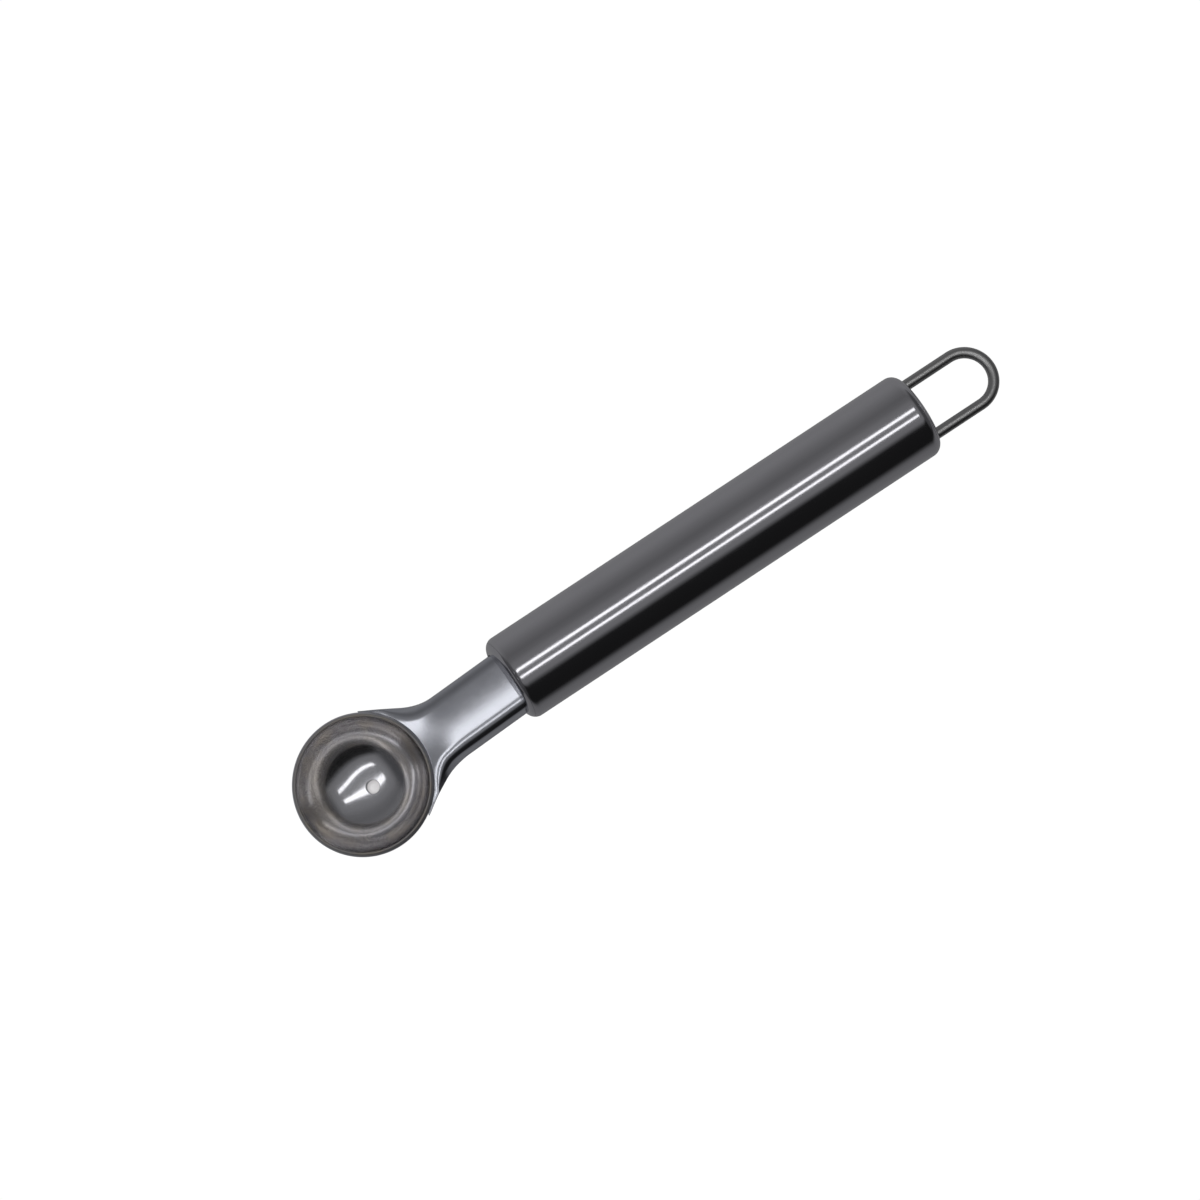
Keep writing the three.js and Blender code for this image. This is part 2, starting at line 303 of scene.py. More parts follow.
TUBE_TINTS = (0.58, 0.575, 0.61, 1), (0.66, 0.655, 0.685, 1)
BOTTOM_TINTS = (0.65, 0.65, 0.685, 1), (0.70, 0.70, 0.735, 1)
# The bowl wall's darker, warmer tints are a painted reflection.
WALL_REFLECTION_TINTS = (0.545, 0.53, 0.525, 1), (0.58, 0.545, 0.495, 1)
NECK_TINTS = (0.57, 0.585, 0.64, 1), (0.65, 0.665, 0.72, 1)
WIRE_TINTS = (0.46, 0.46, 0.46, 1), (0.54, 0.54, 0.535, 1)
HEAT_TINTS = [
    (0.3, (0.42, 0.40, 0.38, 1)), (0.5, (0.45, 0.36, 0.24, 1)), (0.7, (0.27, 0.29, 0.36, 1)),
]


def mirror_steel():
    """Polished tube: fine lengthwise scratches and faint handling marks."""
    material = bpy.data.materials.new("polished tube")
    nodes = Nodes(material)
    lengthwise = nodes.place(HANDLE, stretch=(0.02, 1, 1))
    scratches = nodes.grain(lengthwise, scale=5, detail=2, roughness=0.7)
    rubbed = nodes.place(HANDLE, stretch=(0.35, 1, 1))
    marks = nodes.grain(rubbed, scale=0.16, detail=4, roughness=0.6)
    base = nodes.mix(marks, *TUBE_TINTS)
    roughness = 0.1 + marks * 0.05 + scratches.step(0.5, 0.8) * 0.06
    nodes.metal(base, roughness, nodes.bump(scratches, depth=0.0003))
    return material


def bowl_steel():
    """Polished bowl: inside, brighter and smoother in the bottom; up the wall duller, with a darker,
    warmer tint that is a painted reflection.
    """
    material = bpy.data.materials.new("polished bowl")
    nodes = Nodes(material)
    drawn = nodes.place(BOWL)
    cloud = nodes.grain(drawn, scale=0.22, detail=3, roughness=0.6)
    depth = drawn.axis("Z") / -BOWL_INSIDE
    reach = nodes.add("ShaderNodeVectorMath", {"operation": "LENGTH"}, {0: drawn}, "Value")
    inside = 1 - reach.step(BOWL_INSIDE + BOWL_WALL * 0.3, BOWL_INSIDE + BOWL_WALL * 0.7)
    wall = inside * (1 - depth.step(0.5, 0.9))
    inputs = {"W": depth, "Scale": 60, "Detail": 2}
    rings = nodes.add("ShaderNodeTexNoise", {"noise_dimensions": "1D"}, inputs)
    swirls = nodes.grain(drawn, scale=9, detail=2, roughness=0.7).step(0.5, 0.62)
    rim = 1 - depth.step(0.16, 0.26)
    bottom = nodes.mix(cloud, *BOTTOM_TINTS)
    patches = nodes.grain(drawn, scale=0.16, detail=2, roughness=0.6).step(0.42, 0.58)
    # Painted reflection: the wall is tinted darker and warmer than the bottom, in patches between
    # its two tints.
    side = nodes.mix(patches, *WALL_REFLECTION_TINTS)
    base = nodes.mix(wall, bottom, side)
    roughness = 0.07 + cloud * 0.04 + rings * 0.02 + swirls * 0.14 + wall * 0.06 + rim * 0.45
    nodes.metal(base, roughness, nodes.bump(rings, depth=0.0002))
    return material


def satin_steel():
    """Tumbled neck: fine even grain with faint cloudy patches."""
    material = bpy.data.materials.new("tumbled neck")
    nodes = Nodes(material)
    drawn = nodes.place(SCOOP)
    grain = nodes.grain(drawn, scale=7, detail=4, roughness=0.7)
    cloud = nodes.grain(drawn, scale=0.5, detail=3, roughness=0.55)
    base = nodes.mix(cloud, *NECK_TINTS)
    roughness = 0.145 + grain * 0.05 + cloud * 0.04
    nodes.metal(base, roughness, nodes.bump(grain, depth=0.0008))
    return material


def wire_steel():
    """Drawn wire: fine lines that follow the wire round its bend."""
    material = bpy.data.materials.new("drawn wire")
    nodes = Nodes(material)
    section = nodes.add("ShaderNodeAttribute", {"attribute_name": "section"}, {}, "Vector")
    lines = nodes.grain(section, scale=4, detail=3, roughness=0.7)
    cloud = nodes.grain(nodes.place(HANDLE), scale=0.5, detail=3, roughness=0.55)
    base = nodes.mix(cloud, *WIRE_TINTS)
    roughness = 0.28 + lines * 0.05 + cloud * 0.06
    nodes.metal(base, roughness, nodes.bump(lines, depth=0.00012))
    return material


def weld_steel():
    """Weld bead: dull, with straw and blue heat colours."""
    material = bpy.data.materials.new("weld bead")
    nodes = Nodes(material)
    drawn = nodes.place(HANDLE)
    heat = nodes.grain(drawn, scale=0.9, detail=3, roughness=0.5)
    soot = nodes.grain(drawn, scale=6, detail=4, roughness=0.6)
    base = nodes.ramp(heat, HEAT_TINTS)
    roughness = 0.36 + soot * 0.25
    nodes.metal(base, roughness, nodes.bump(soot, depth=0.04))
    return material


FINISHES = {
    "mirror_steel": mirror_steel(), "bowl_steel": bowl_steel(), "satin_steel": satin_steel(),
    "wire_steel": wire_steel(), "weld_steel": weld_steel(),
}


# Meshes

SHARP = math.radians(38)
TURN_STEPS = 192
ROUND_STEPS = 4
SHOULDER_STEPS = 12
BOWL_STEPS = 72
LOOP_STEPS = 48
WIRE_SPACING = 0.3
WIRE_SIDES = 40
BEAD_SPACING = 0.06
BEAD_SIDES = 20
MERGE_DISTANCE = 0.0001


def new_object(name, mesh):
    """Puts a mesh in the scene as an object of that name."""
    piece = bpy.data.objects.new(name, mesh)
    bpy.context.collection.objects.link(piece)
    return piece


def line_mesh(name, points, closed):
    """A mesh of edges only, through points of a drawing."""
    edges = [(i, i + 1) for i in range(len(points) - 1)]
    if closed:
        edges.append((len(points) - 1, 0))
    mesh = bpy.data.meshes.new(name)
    mesh.from_pydata([tuple(point) for point in points], edges, [])
    return mesh


def filled_mesh(name, work):
    """The mesh of a closed skin under work, its faces turned outwards."""
    bmesh.ops.recalc_face_normals(work, faces=work.faces)
    mesh = bpy.data.meshes.new(name)
    work.to_mesh(mesh)
    work.free()
    return mesh


def evaluated(piece):
    """The piece's mesh with its modifiers worked in; the piece itself is taken away."""
    graph = bpy.context.evaluated_depsgraph_get()
    mesh = bpy.data.meshes.new_from_object(piece.evaluated_get(graph), depsgraph=graph)
    bpy.data.objects.remove(piece)
    return mesh


def finished(name, mesh, drawing, slot):
    """Lays a drawn mesh in the frame as the piece that stands for the node of that name."""
    mesh.transform(drawing)
    mesh.materials.clear()
    mesh.materials.append(FINISHES[slot])
    mesh.shade_smooth()
    mesh.set_sharp_from_angle(angle=SHARP)
    piece = new_object(name + "_finish", mesh)
    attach(piece, "root")
    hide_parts(name)


def points_of(*pairs):
    """Points in the plane of a drawing."""
    return [Vector((x, y, 0)) for x, y in pairs]


def spread(start, end, steps):
    """Values in even steps from start to end, both included."""
    return [start + (end - start) * i / steps for i in range(steps + 1)]


def arc(x, y, radius, start, end, steps):
    """Points of an arc about (x, y), both ends included."""
    angles = spread(start, end, steps)
    return points_of(*((x + radius * math.cos(a), y + radius * math.sin(a)) for a in angles))


def bend_point(start, corner, end, t):
    """Point at t, from 0 to 1, of a bend from start to end round the inside of a corner."""
    return start * (1 - t) ** 2 + corner * 2 * t * (1 - t) + end * t ** 2


def rounded(line, radii):
    """A line with some of its corners rounded: radii says which, and by how much."""
    smooth = []
    for i, corner in enumerate(line):
        radius = radii.get(i, 0)
        if radius == 0:
            smooth.append(corner)
            continue
        start = corner + (line[i - 1] - corner).normalized() * radius
        end = corner + (line[(i + 1) % len(line)] - corner).normalized() * radius
        smooth += [bend_point(start, corner, end, t) for t in spread(0, 1, ROUND_STEPS)]
    return smooth


# Geometry node trees

BEAD_WIDTH = 0.92
RIPPLE_LENGTH = 0.55
RIPPLE_SHARE = 0.06
BEAD_END_POWER = 6
BEAD_END_LEAST = 0.04


class Tree:
    """A geometry tree under construction, with named inputs."""

    def __init__(self, name, inputs):
        self.tree = bpy.data.node_groups.new(name, "GeometryNodeTree")
        face = self.tree.interface
        face.new_socket("Geometry", in_out="INPUT", socket_type="NodeSocketGeometry")
        for label, kind in inputs.items():
            face.new_socket(label, in_out="INPUT", socket_type="NodeSocket" + kind)
        face.new_socket("Geometry", in_out="OUTPUT", socket_type="NodeSocketGeometry")
        self.given = self.tree.nodes.new("NodeGroupInput").outputs

    def add(self, kind, settings, inputs, out=0):
        node = self.tree.nodes.new("GeometryNode" + kind)
        return self.fill(node, settings, inputs).outputs[out]

    def maths(self, operation, *values):
        node = self.tree.nodes.new("ShaderNodeMath")
        return self.fill(node, {"operation": operation}, dict(enumerate(values))).outputs[0]

    def fill(self, node, settings, inputs):
        for key, value in settings.items():
            setattr(node, key, value)
        for key, value in inputs.items():
            if isinstance(value, bpy.types.NodeSocket):
                self.tree.links.new(value, node.inputs[key])
            else:
                node.inputs[key].default_value = value
        return node

    def line(self):
        """The base mesh's line as a curve."""
        return self.add("MeshToCurve", {}, {"Mesh": self.given["Geometry"]})

    def evened(self, path):
        """A curve with its points at the given spacing."""
        inputs = {"Curve": path, "Length": self.given["Spacing"]}
        return self.add("ResampleCurve", {"mode": "LENGTH"}, inputs)

    def circle(self, sides, radius):
        """A round line with that many sides."""
        return self.add("CurvePrimitiveCircle", {}, {"Resolution": sides, "Radius": radius})

    def close(self, geometry):
        whole = self.add("RealizeInstances", {}, {"Geometry": geometry})
        whole = self.add("SetMaterial", {}, {"Geometry": whole, "Material": self.given["Finish"]})
        end = self.tree.nodes.new("NodeGroupOutput")
        self.tree.links.new(whole, end.inputs["Geometry"])
        return self.tree


def grown(name, mesh, tree, slot, values):
    """Runs a geometry tree on a base mesh and returns the plain mesh that it makes."""
    values = values | {"Finish": FINISHES[slot]}
    piece = new_object(name + "_base", mesh)
    modifier = piece.modifiers.new("form", "NODES")
    modifier.node_group = tree
    for item in tree.interface.items_tree:
        if item.in_out == "INPUT" and item.name in values:
            modifier[item.identifier] = values[item.name]
    return evaluated(piece)


def turning_tree():
    """Turns an outline of (radius, depth) points about the Z axis."""
    tree = Tree("turned steel", {"Steps": "Int", "Spindle": "Float", "Finish": "Material"})
    spindle = tree.given["Spindle"]
    away = tree.tree.nodes.new("ShaderNodeCombineXYZ")
    inwards = tree.fill(away, {}, {"X": tree.maths("MULTIPLY", spindle, -1)}).outputs[0]
    outline = tree.add("SetPosition", {}, {"Geometry": tree.line(), "Offset": inwards})
    path = tree.circle(tree.given["Steps"], spindle)
    skin = tree.add("CurveToMesh", {}, {"Curve": path, "Profile Curve": outline})
    whole = tree.add("MergeByDistance", {}, {"Geometry": skin, "Distance": MERGE_DISTANCE})
    return tree.close(whole)


def bent_wire_tree():
    """Bends a line of straight runs into round wire and notes each point's place in the wire."""
    tree = Tree("bent wire", {
        "Wire Radius": "Float", "Bend Radius": "Float", "Bend Steps": "Int", "Spacing": "Float",
        "Sides": "Int", "Finish": "Material",
    })
    path = tree.add("FilletCurve", {"mode": "POLY"}, {
        "Curve": tree.line(), "Count": tree.given["Bend Steps"], "Radius": tree.given["Bend Radius"],
    })
    rod = tree.add("StoreNamedAttribute", {"data_type": "FLOAT_VECTOR", "domain": "POINT"}, {
        "Geometry": tree.circle(tree.given["Sides"], tree.given["Wire Radius"]),
        "Name": "section", "Value": tree.add("InputPosition", {}, {}),
    })
    return tree.close(tree.add("CurveToMesh", {}, {
        "Curve": tree.evened(path), "Profile Curve": rod, "Fill Caps": True,
    }))


def weld_tree():
    """Lays a rippled bead along a line, drawn in at both ends."""
    tree = Tree("weld bead", {
        "Bead Radius": "Float", "Ripple": "Float", "Spacing": "Float", "Sides": "Int",
        "Finish": "Material",
    })
    along = tree.add("SplineParameter", {}, {}, "Length")
    share = tree.add("SplineParameter", {}, {}, "Factor")
    turns = tree.maths("DIVIDE", along, tree.given["Ripple"])
    wave = tree.maths("SINE", tree.maths("MULTIPLY", turns, 2 * math.pi))
    rippled = tree.maths("MULTIPLY_ADD", wave, RIPPLE_SHARE, BEAD_WIDTH)
    from_middle = tree.maths("ABSOLUTE", tree.maths("MULTIPLY_ADD", share, 2, -1))
    drawn_in = tree.maths("SUBTRACT", 1, tree.maths("POWER", from_middle, BEAD_END_POWER))
    rounding = tree.maths("SQRT", tree.maths("MAXIMUM", drawn_in, BEAD_END_LEAST))
    width = tree.maths("MULTIPLY", rippled, rounding)
    rod = tree.circle(tree.given["Sides"], tree.given["Bead Radius"])
    return tree.close(tree.add("CurveToMesh", {}, {
        "Curve": tree.evened(tree.line()), "Profile Curve": rod, "Scale": width, "Fill Caps": True,
    }))


TURNING = turning_tree()
BENT_WIRE = bent_wire_tree()
WELD_BEAD = weld_tree()
SPINDLE = 20.0
LENGTHWISE = Matrix.Rotation(math.pi / 2, 4, "Y")


def turned(name, outline, slot):
    """A body turned about Z from (radius, height) points; an outline off the axis is closed."""
    depths = [(point.x, -point.y, 0) for point in outline]
    line = line_mesh(name, depths, closed=outline[0].x > 0)
    mesh = grown(name, line, TURNING, slot, {"Steps": TURN_STEPS, "Spindle": SPINDLE})
    work = bmesh.new()
    work.from_mesh(mesh)
    return filled_mesh(name, work)


# Bowl

def bowl():
    """Part of a sphere whose rim is ground to a bevel, with a vent hole in the bottom.

    Inside, the bottom is pressed a little flatter where the vent was punched.
    """
    rim = RIM_BEVEL - BOWL_RISE
    inner_rim = math.sqrt(BOWL_INSIDE ** 2 - rim ** 2)
    outside = arc(0, 0, BOWL_SPHERE, -math.acos((VENT_RADIUS + VENT_EDGE) / BOWL_SPHERE),
                  -math.asin(BOWL_RISE / BOWL_SPHERE), BOWL_STEPS)
    lip = points_of((inner_rim + RIM_LIP, rim))
    inside = arc(0, 0, BOWL_INSIDE, math.asin(rim / BOWL_INSIDE),
                 -math.acos((VENT_RADIUS + VENT_EDGE) / BOWL_INSIDE), BOWL_STEPS)
    vent = points_of(
        (VENT_RADIUS, -math.sqrt(BOWL_INSIDE ** 2 - VENT_RADIUS ** 2)),
        (VENT_RADIUS, -math.sqrt(BOWL_SPHERE ** 2 - VENT_RADIUS ** 2)),
    )
    foot, top, edge = BOWL_STEPS, BOWL_STEPS + 1, BOWL_STEPS + 2
    hole = edge + BOWL_STEPS + 1
    radii = {foot: RIM_EDGE, top: RIM_EDGE, edge: RIM_EDGE, hole: VENT_EDGE, hole + 1: VENT_EDGE}
    mesh = turned("bowl", rounded(outside + lip + inside + vent, radii), "bowl_steel")
    for vertex in mesh.vertices:
        if vertex.co.z < -BOWL_INSIDE / 2 and vertex.co.length < BOWL_INSIDE + BOWL_WALL / 2:
            away = (vertex.co.xy - PATCH_PLACE).length / PATCH_WIDTH
            vertex.co.z += PATCH_RISE * math.exp(-away ** 2)
    finished("bowl", mesh, BOWL, "bowl_steel")


# Neck

SIDE_STEPS = 8
BEND_STEPS = 28
CROWN_STEPS = 20
LINE_POINTS = 2 * (SIDE_STEPS + BEND_STEPS + CROWN_STEPS) + 1
FLARE_STEPS = 48
STRAIGHT_STEPS = 6
TANG_STEPS = 8
END_STEPS = 12
SEARCH_STEPS = 60
SEARCH_HALVINGS = 30
SIDES_DROP = NECK_DEPTH - NECK_TOP
SIDES_END = BOWL_REACH - FACE_GAP / math.cos(NECK_PITCH) - SIDES_DROP * math.tan(NECK_PITCH)
TANG_START = BOWL_REACH - FACE_GAP * math.cos(NECK_PITCH) - TANG_DROP * math.sin(NECK_PITCH)
TANG_END = BOWL_REACH + TANG_LENGTH


def blend(value, low, high, at_low, at_high):
    """A value that changes smoothly from one size at low to another at high."""
    t = min(max((value - low) / (high - low), 0), 1)
    return at_low + (at_high - at_low) * t * t * (3 - 2 * t)


def edge_half(distance):
    """Half width of the channel's lower edges, a distance behind the bowl's centre."""
    corner = (FLARE_TANGENT - NECK_HALF * math.cos(FLARE_ANGLE)) / math.sin(FLARE_ANGLE)
    reach = FLARE_FILLET * math.tan(FLARE_ANGLE / 2)
    if distance >= corner + reach:
        return NECK_HALF
    if distance <= corner - reach * math.cos(FLARE_ANGLE):
        return (FLARE_TANGENT - distance * math.sin(FLARE_ANGLE)) / math.cos(FLARE_ANGLE)
    along = corner + reach - distance
    return NECK_HALF + FLARE_FILLET - math.sqrt(FLARE_FILLET ** 2 - along ** 2)


def fold_half(distance):
    """Half width of the folds between the top and the sides."""
    edge = edge_half(distance) - TIP_SLOPE
    along = max(0, BOWL_RADIUS + FOLD_RUN - distance)
    if along >= FOLD_FILLET:
        return edge
    return min(edge, NECK_TOP_HALF + FOLD_FILLET - math.sqrt(FOLD_FILLET ** 2 - along ** 2))


def fold_height(distance):
    """Height of the folds, which rise round the dish at the bowl and fall away along the tips."""
    rise = blend(distance, BOWL_RADIUS, BOWL_RADIUS + DISH_LENGTH, FOLD_RISE, 0)
    return NECK_TOP + rise - blend(distance, FLARE_TIP, FLARE_TIP + TIP_LENGTH, TIP_FALL, 0)


def foot_height(distance):
    """Height of the sides' lower edges, which run out beside the bowl."""
    return fold_height(distance) - blend(distance, SWEEP_END, CRADLE_START, TIP_DEPTH, NECK_DEPTH)


def stop_height(distance):
    """Height below which the sides are cut away at the handle's face and along the tang."""
    inside = distance - BOWL_REACH
    face = (inside * math.cos(NECK_PITCH) + FACE_GAP) / math.sin(NECK_PITCH)
    tang = (-inside * math.sin(NECK_PITCH) - TANG_DROP) / math.cos(NECK_PITCH)
    return min(face, tang)


def channel_half(distance):
    """One side of the channel's outer line, from the lower edge over the fold to the middle."""
    fold = Vector((fold_half(distance), fold_height(distance)))
    foot = Vector((edge_half(distance), foot_height(distance)))
    below = fold.lerp(foot, min(FOLD_DROP / (foot - fold).length, 1 / 2))
    stop = max(foot.y, stop_height(distance))
    edge = fold.lerp(foot, (fold.y - stop) / (fold.y - foot.y))
    rise = blend(distance, BOWL_RADIUS, BOWL_RADIUS + DISH_LENGTH, -CRADLE_DISH, NECK_CROWN)

    def crown(y):
        return Vector((y, fold.y + rise * (1 - (y / fold.x) ** 2)))

    inside = crown(fold.x - FOLD_REACH)
    side = [edge.lerp(below, t) for t in spread(0, 1, SIDE_STEPS)[:-1]]
    bend = [bend_point(below, fold, inside, t) for t in spread(0, 1, BEND_STEPS)[:-1]]
    top = [crown(inside.x * (1 - t)) for t in spread(0, 1, CROWN_STEPS)]
    return side + bend + top


def channel_point(i, distance, offset):
    """Point i of the channel's line there, moved out along the line's normal."""
    half = channel_half(distance)
    line = half + [Vector((-point.x, point.y)) for point in reversed(half[:-1])]
    run = (line[min(i + 1, LINE_POINTS - 1)] - line[max(i - 1, 0)]).normalized()
    point = line[i] + Vector((run.y, -run.x)) * offset
    return Vector((distance - BOWL_REACH, point.x, point.y))


def bowl_distance(i, offset):
    """Distance behind the bowl's centre at which a line of the channel meets the bowl."""
    def inside(distance):
        return (channel_point(i, distance, offset) - BOWL_CENTRE).length < BOWL_ROOM

    steps = spread(FLARE_TIP, FLARE_END, SEARCH_STEPS)
    covered = [distance for distance in steps if inside(distance)]
    if not covered:
        return FLARE_TIP
    low, high = covered[-1], FLARE_END
    for _ in range(SEARCH_HALVINGS):
        middle = (low + high) / 2
        if inside(middle):
            low = middle
        else:
            high = middle
    return high


def stations(start):
    """Distances of the channel's sections from the bowl to the end of the tang."""
    flare = spread(start, FLARE_END, FLARE_STEPS)[:-1]
    straight = spread(FLARE_END, SIDES_END, STRAIGHT_STEPS)
    tang = spread(TANG_START, TANG_END, TANG_STEPS)
    return flare + straight + tang


def join_rows(work, rows):
    """Skin between rows of points that match."""
    for near, far in zip(rows, rows[1:]):
        for k in range(len(near) - 1):
            work.faces.new((near[k], near[k + 1], far[k + 1], far[k]))


def neck():
    """Pressed channel that flares until its edges run tangent to the bowl."""
    work = bmesh.new()
    skins = []
    for offset in (0, -SHEET):
        lines = []
        for i in range(LINE_POINTS):
            distances = stations(bowl_distance(i, offset))
            points = [channel_point(i, distance, offset) for distance in distances]
            lines.append([work.verts.new(point) for point in points])
        skins.append(lines)
    outer, inner = skins
    bowl_end = []
    for top, under in zip(outer, inner):
        row = [top[0]]
        for t in spread(0, 1, END_STEPS)[1:-1]:
            out = top[0].co.lerp(under[0].co, t) - BOWL_CENTRE
            out *= max(1, BOWL_ROOM / out.length)
            row.append(work.verts.new(BOWL_CENTRE + out))
        bowl_end.append(row + [under[0]])
    join_rows(work, outer)
    join_rows(work, inner)
    join_rows(work, bowl_end)
    join_rows(work, [[top[-1], under[-1]] for top, under in zip(outer, inner)])
    for edge in (0, -1):
        top, under = outer[edge], inner[edge]
        work.faces.new([top[1]] + bowl_end[edge] + [under[1]])
        join_rows(work, [top[1:], under[1:]])
    finished("neck", filled_mesh("neck", work), SCOOP, "satin_steel")


# Handle

def cut(mesh, cutters):
    """The mesh with closed cutters taken away from it."""
    piece = new_object("uncut", mesh)
    tools = [new_object("cutter", cutter) for cutter in cutters]
    for tool in tools:
        modifier = piece.modifiers.new("cut", "BOOLEAN")
        modifier.operation = "DIFFERENCE"
        modifier.solver = "EXACT"
        modifier.object = tool
    result = evaluated(piece)
    for tool in tools:
        bpy.data.objects.remove(tool)
    return result


def handle_tube():
    """Thin tube whose ends are drawn in round the shoulders."""
    front = (HANDLE_RADIUS - FRONT_SHOULDER, FRONT_SHOULDER)
    rear = (HANDLE_RADIUS - REAR_SHOULDER, HANDLE_LENGTH - REAR_SHOULDER)
    outline = (
        arc(*front, FRONT_SHOULDER, -SHOULDER_TURN, 0, SHOULDER_STEPS)
        + arc(*rear, REAR_SHOULDER, 0, SHOULDER_TURN, SHOULDER_STEPS)
        + arc(*rear, REAR_SHOULDER - TUBE_WALL, SHOULDER_TURN, 0, SHOULDER_STEPS)
        + arc(*front, FRONT_SHOULDER - TUBE_WALL, 0, -SHOULDER_TURN, SHOULDER_STEPS)
    )
    radii = {0: SEAM_EDGE, 2 * SHOULDER_STEPS + 1: SEAM_EDGE}
    mesh = turned("handle_tube", rounded(outline, radii), "mirror_steel")
    finished("handle_tube", mesh, HANDLE @ LENGTHWISE, "mirror_steel")


def cap_mesh(name, shoulder):
    """Cap with its flat face at height 0, its skirt upwards and its round edge at the tube's."""
    flat = HANDLE_RADIUS - shoulder
    mouth = (shoulder - TUBE_WALL) * math.cos(SHOULDER_TURN) - TUBE_FIT
    seam = SHOULDER_TURN + SEAM_GAP / shoulder
    step = shoulder - mouth * math.tan(seam)
    skirt = flat + mouth
    face = points_of((0, 0), (flat - shoulder / SHOULDER_STEPS, 0))
    edge = arc(flat, shoulder, shoulder, -math.pi / 2, -seam, SHOULDER_STEPS)
    inside = points_of(
        (skirt, step), (skirt, step + SKIRT_LENGTH), (skirt - SKIRT_WALL, step + SKIRT_LENGTH),
        (skirt - SKIRT_WALL, CAP_PLATE), (0, CAP_PLATE),
    )
    radii = {len(face) + SHOULDER_STEPS: SEAM_EDGE}
    return turned(name, rounded(face + edge + inside, radii), "mirror_steel")


def slot_cutter():
    """The tang grown by its fit, right through the front cap."""
    def ring(distance):
        over = [channel_point(i, distance, SLOT_FIT) for i in range(LINE_POINTS)]
        under = [channel_point(i, distance, -SHEET - SLOT_FIT) for i in range(LINE_POINTS)]
        for edge in (over[0], over[-1], under[0], under[-1]):
            edge.z -= SLOT_FIT
        return over + under[::-1]

    work = bmesh.new()
    near = [work.verts.new(point - Vector((SLOT_FIT, 0, 0))) for point in ring(TANG_START)]
    far = [work.verts.new(point) for point in ring(BOWL_REACH + 2 * CAP_PLATE)]
    for k in range(len(near)):
        work.faces.new((near[k - 1], near[k], far[k], far[k - 1]))
    caps = [work.faces.new(near), work.faces.new(far)]
    bmesh.ops.triangulate(work, faces=caps)
    mesh = filled_mesh("slot", work)
    mesh.transform(HANDLE.inverted() @ SCOOP)
    return mesh


def front_cap():
    """Cap with the slot for the tang."""
    mesh = cap_mesh("front_cap", FRONT_SHOULDER)
    mesh.transform(LENGTHWISE)
    finished("front_cap", cut(mesh, [slot_cutter()]), HANDLE, "mirror_steel")


def rear_cap():
    """Cap with two holes for the loop's legs, each a little wider at its mouth."""
    mesh = cap_mesh("rear_cap", REAR_SHOULDER)
    hole = WIRE_RADIUS + HOLE_FIT
    sink = hole + HOLE_FIT + SKIRT_LENGTH
    drill = points_of(
        (0, -SKIRT_LENGTH), (sink, -SKIRT_LENGTH), (hole, HOLE_FIT),
        (hole, SKIRT_LENGTH), (0, SKIRT_LENGTH),
    )
    drills = []
    for side in (-1, 1):
        drilled = turned("drill", drill, "mirror_steel")
        drilled.transform(Matrix.Translation((0, side * LOOP_RADIUS, 0)))
        drills.append(drilled)
    about = Matrix.Rotation(math.pi, 4, "Z")
    back = Matrix.Translation((HANDLE_LENGTH, 0, 0)) @ about @ LENGTHWISE
    finished("rear_cap", cut(mesh, drills), HANDLE @ back, "mirror_steel")


def hanging_loop():
    """One bent wire with both legs through the rear cap."""
    start = HANDLE_LENGTH - LEG_DEPTH
    end = HANDLE_LENGTH + LOOP_REACH - WIRE_RADIUS
    points = points_of(
        (start, -LOOP_RADIUS), (end, -LOOP_RADIUS), (end, LOOP_RADIUS), (start, LOOP_RADIUS),
    )
    values = {
        "Wire Radius": WIRE_RADIUS, "Bend Radius": LOOP_RADIUS - BEND_EASE, "Bend Steps": LOOP_STEPS,
        "Spacing": WIRE_SPACING, "Sides": WIRE_SIDES,
    }
    line = line_mesh("hanging_loop", points, closed=False)
    mesh = grown("hanging_loop", line, BENT_WIRE, "wire_steel", values)
    finished("hanging_loop", mesh, HANDLE, "wire_steel")


def weld(name, points, thickness, drawing):
    """One bead along points of a drawing."""
    values = {
        "Bead Radius": thickness / 2, "Ripple": RIPPLE_LENGTH,
        "Spacing": BEAD_SPACING, "Sides": BEAD_SIDES,
    }
    line = line_mesh(name, points, closed=False)
    mesh = grown(name, line, WELD_BEAD, "weld_steel", values)
    finished(name, mesh, drawing, "weld_steel")


def bowl_weld(name, side):
    """Bead under the neck's top, along the bowl on one side of the middle."""
    radius = BOWL_BEAD / 2
    height = NECK_TOP + FOLD_RISE - CRADLE_DISH - SHEET - WELD_GAP - radius
    reach = math.sqrt((BOWL_SPHERE + WELD_GAP + radius) ** 2 - (height - BOWL_CENTRE.z) ** 2)
    space = fold_half(reach) - SHEET - FOLD_REACH - radius
    start, end = side * BOWL_BEAD / reach, side * math.asin(space / reach)
    line = arc(-BOWL_REACH, 0, reach, start, end, BEND_STEPS)
    weld(name, [point + Vector((0, 0, height)) for point in line], BOWL_BEAD, SCOOP)


def tang_weld(name, side):
    """Bead behind the front cap, above or below the tang's top sheet."""
    radius = TANG_BEAD / 2
    face = NECK_TOP + NECK_CROWN if side > 0 else SHEET - NECK_TOP
    x = CAP_PLATE + WELD_GAP + radius
    height = side * (face + WELD_GAP + radius)
    z = (height + x * math.sin(NECK_PITCH)) / math.cos(NECK_PITCH)
    reach = TANG_BEAD_LENGTH / 2
    weld(name, [(x, -reach, z), (x, reach, z)], TANG_BEAD, HANDLE)


def loop_weld(name, side):
    """Bead behind the rear cap, on the inner side of one leg."""
    radius = LOOP_BEAD / 2
    x = HANDLE_LENGTH - CAP_PLATE - WELD_GAP - radius
    y = side * (LOOP_RADIUS - WIRE_RADIUS - WELD_GAP - radius)
    reach = LOOP_BEAD_LENGTH / 2
    weld(name, [(x, y, -reach), (x, y, reach)], LOOP_BEAD, HANDLE)


